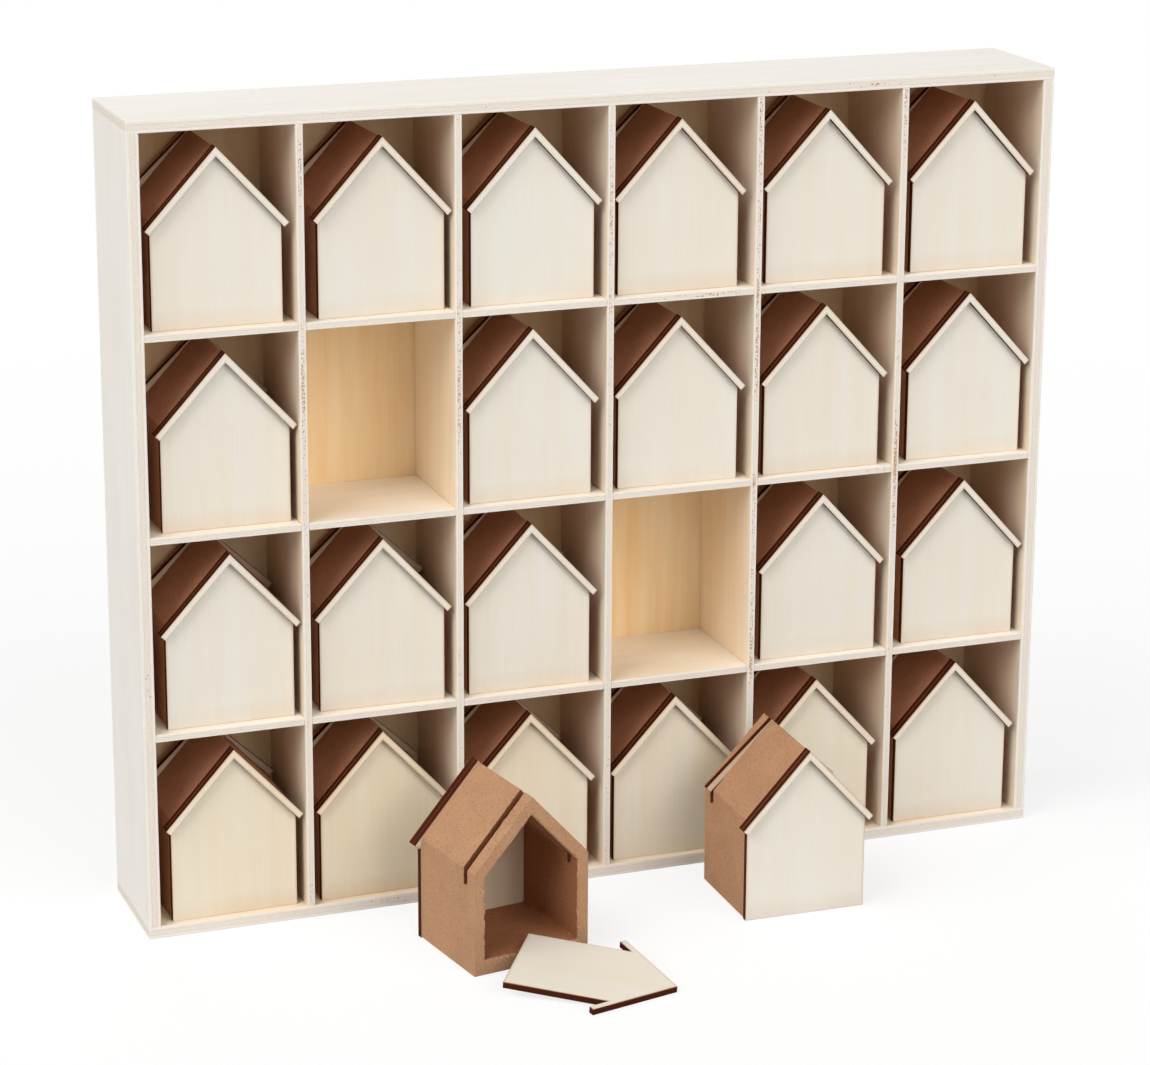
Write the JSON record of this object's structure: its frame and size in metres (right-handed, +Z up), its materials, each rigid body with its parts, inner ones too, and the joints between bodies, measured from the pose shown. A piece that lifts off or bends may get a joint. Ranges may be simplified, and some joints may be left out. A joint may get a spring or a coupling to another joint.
{
  "type": "wooden advent calendar",
  "caption": "Plywood cabinet with a grid of open cells, each holding a small gable house that slides out and opens to hide a gift.",
  "frame": {"origin": "under the middle of the cabinet's base, half way between its front and its back", "axes": "+X to the right seen from the front, +Y to the back, +Z up"},
  "size_m": [0.4402, 0.2064, 0.3725],
  "materials": {
    "cabinet_plywood": "sanded birch plywood, unfinished, pale, ply edges in view",
    "house_plywood": "thin birch plywood, unfinished, edges burnt dark brown by the laser",
    "fibreboard": "raw brown medium density fibreboard, sawn"
  },
  "bodies": {
    "cabinet": {"top_board": "cabinet_plywood", "bottom_board": "cabinet_plywood", "left_side": "cabinet_plywood", "right_side": "cabinet_plywood", "back_panel": "cabinet_plywood", "dividers": "cabinet_plywood", "shelves": "cabinet_plywood"},
    "house_row1_col1": {"house_row1_col1_shell": "fibreboard", "house_row1_col1_plywood": "house_plywood"},
    "house_row1_col2": {"house_row1_col2_shell": "fibreboard", "house_row1_col2_plywood": "house_plywood"},
    "house_row1_col3": {"house_row1_col3_shell": "fibreboard", "house_row1_col3_plywood": "house_plywood"},
    "house_row1_col4": {"house_row1_col4_shell": "fibreboard", "house_row1_col4_plywood": "house_plywood"},
    "house_row1_col5": {"house_row1_col5_shell": "fibreboard", "house_row1_col5_plywood": "house_plywood"},
    "house_row1_col6": {"house_row1_col6_shell": "fibreboard", "house_row1_col6_plywood": "house_plywood"},
    "house_row2_col1": {"house_row2_col1_shell": "fibreboard", "house_row2_col1_plywood": "house_plywood"},
    "house_row2_col3": {"house_row2_col3_shell": "fibreboard", "house_row2_col3_plywood": "house_plywood"},
    "house_row2_col4": {"house_row2_col4_shell": "fibreboard", "house_row2_col4_plywood": "house_plywood"},
    "house_row2_col5": {"house_row2_col5_shell": "fibreboard", "house_row2_col5_plywood": "house_plywood"},
    "house_row2_col6": {"house_row2_col6_shell": "fibreboard", "house_row2_col6_plywood": "house_plywood"},
    "house_row3_col1": {"house_row3_col1_shell": "fibreboard", "house_row3_col1_plywood": "house_plywood"},
    "house_row3_col2": {"house_row3_col2_shell": "fibreboard", "house_row3_col2_plywood": "house_plywood"},
    "house_row3_col3": {"house_row3_col3_shell": "fibreboard", "house_row3_col3_plywood": "house_plywood"},
    "house_row3_col5": {"house_row3_col5_shell": "fibreboard", "house_row3_col5_plywood": "house_plywood"},
    "house_row3_col6": {"house_row3_col6_shell": "fibreboard", "house_row3_col6_plywood": "house_plywood"},
    "house_row4_col1": {"house_row4_col1_shell": "fibreboard", "house_row4_col1_plywood": "house_plywood"},
    "house_row4_col2": {"house_row4_col2_shell": "fibreboard", "house_row4_col2_plywood": "house_plywood"},
    "house_row4_col3": {"house_row4_col3_shell": "fibreboard", "house_row4_col3_plywood": "house_plywood"},
    "house_row4_col4": {"house_row4_col4_shell": "fibreboard", "house_row4_col4_plywood": "house_plywood"},
    "house_row4_col5": {"house_row4_col5_shell": "fibreboard", "house_row4_col5_plywood": "house_plywood"},
    "house_row4_col6": {"house_row4_col6_shell": "fibreboard", "house_row4_col6_plywood": "house_plywood"},
    "open_house": {"open_house_shell": "fibreboard", "open_house_front_panel": "house_plywood", "open_house_bargeboard": "house_plywood"},
    "open_house_plate": {"open_house_slide_plate": "house_plywood"},
    "closed_house": {"closed_house_shell": "fibreboard", "closed_house_front_panel": "house_plywood", "closed_house_bargeboard": "house_plywood"},
    "closed_house_plate": {"closed_house_slide_plate": "house_plywood"}
  },
  "joints": [
    {"name": "house_row1_col1_pull", "type": "slide", "parent": "cabinet", "child": "house_row1_col1", "axis": [0, -1, 0], "range_m": [0, 0.06]},
    {"name": "house_row1_col2_pull", "type": "slide", "parent": "cabinet", "child": "house_row1_col2", "axis": [0, -1, 0], "range_m": [0, 0.06]},
    {"name": "house_row1_col3_pull", "type": "slide", "parent": "cabinet", "child": "house_row1_col3", "axis": [0, -1, 0], "range_m": [0, 0.06]},
    {"name": "house_row1_col4_pull", "type": "slide", "parent": "cabinet", "child": "house_row1_col4", "axis": [0, -1, 0], "range_m": [0, 0.06]},
    {"name": "house_row1_col5_pull", "type": "slide", "parent": "cabinet", "child": "house_row1_col5", "axis": [0, -1, 0], "range_m": [0, 0.06]},
    {"name": "house_row1_col6_pull", "type": "slide", "parent": "cabinet", "child": "house_row1_col6", "axis": [0, -1, 0], "range_m": [0, 0.06]},
    {"name": "house_row2_col1_pull", "type": "slide", "parent": "cabinet", "child": "house_row2_col1", "axis": [0, -1, 0], "range_m": [0, 0.06]},
    {"name": "house_row2_col3_pull", "type": "slide", "parent": "cabinet", "child": "house_row2_col3", "axis": [0, -1, 0], "range_m": [0, 0.06]},
    {"name": "house_row2_col4_pull", "type": "slide", "parent": "cabinet", "child": "house_row2_col4", "axis": [0, -1, 0], "range_m": [0, 0.06]},
    {"name": "house_row2_col5_pull", "type": "slide", "parent": "cabinet", "child": "house_row2_col5", "axis": [0, -1, 0], "range_m": [0, 0.06]},
    {"name": "house_row2_col6_pull", "type": "slide", "parent": "cabinet", "child": "house_row2_col6", "axis": [0, -1, 0], "range_m": [0, 0.06]},
    {"name": "house_row3_col1_pull", "type": "slide", "parent": "cabinet", "child": "house_row3_col1", "axis": [0, -1, 0], "range_m": [0, 0.06]},
    {"name": "house_row3_col2_pull", "type": "slide", "parent": "cabinet", "child": "house_row3_col2", "axis": [0, -1, 0], "range_m": [0, 0.06]},
    {"name": "house_row3_col3_pull", "type": "slide", "parent": "cabinet", "child": "house_row3_col3", "axis": [0, -1, 0], "range_m": [0, 0.06]},
    {"name": "house_row3_col5_pull", "type": "slide", "parent": "cabinet", "child": "house_row3_col5", "axis": [0, -1, 0], "range_m": [0, 0.06]},
    {"name": "house_row3_col6_pull", "type": "slide", "parent": "cabinet", "child": "house_row3_col6", "axis": [0, -1, 0], "range_m": [0, 0.06]},
    {"name": "house_row4_col1_pull", "type": "slide", "parent": "cabinet", "child": "house_row4_col1", "axis": [0, -1, 0], "range_m": [0, 0.06]},
    {"name": "house_row4_col2_pull", "type": "slide", "parent": "cabinet", "child": "house_row4_col2", "axis": [0, -1, 0], "range_m": [0, 0.0157]},
    {"name": "house_row4_col3_pull", "type": "slide", "parent": "cabinet", "child": "house_row4_col3", "axis": [0, -1, 0], "range_m": [0, 0.0157]},
    {"name": "house_row4_col4_pull", "type": "slide", "parent": "cabinet", "child": "house_row4_col4", "axis": [0, -1, 0], "range_m": [0, 0.0157]},
    {"name": "house_row4_col5_pull", "type": "slide", "parent": "cabinet", "child": "house_row4_col5", "axis": [0, -1, 0], "range_m": [0, 0.0157]},
    {"name": "house_row4_col6_pull", "type": "slide", "parent": "cabinet", "child": "house_row4_col6", "axis": [0, -1, 0], "range_m": [0, 0.06]},
    {"name": "open_house_away", "type": "slide", "parent": "cabinet", "child": "open_house", "axis": [0, -1, 0], "range_m": [0, 0.06]},
    {"name": "open_house_plate_lift", "type": "slide", "parent": "open_house", "child": "open_house_plate", "axis": [0, 0, 1], "range_m": [0, 0.03]},
    {"name": "closed_house_away", "type": "slide", "parent": "cabinet", "child": "closed_house", "axis": [0, -1, 0], "range_m": [0, 0.06]},
    {"name": "closed_house_plate_lift", "type": "slide", "parent": "closed_house", "child": "closed_house_plate", "axis": [0, 0, 1], "range_m": [0, 0.075]}
  ]
}
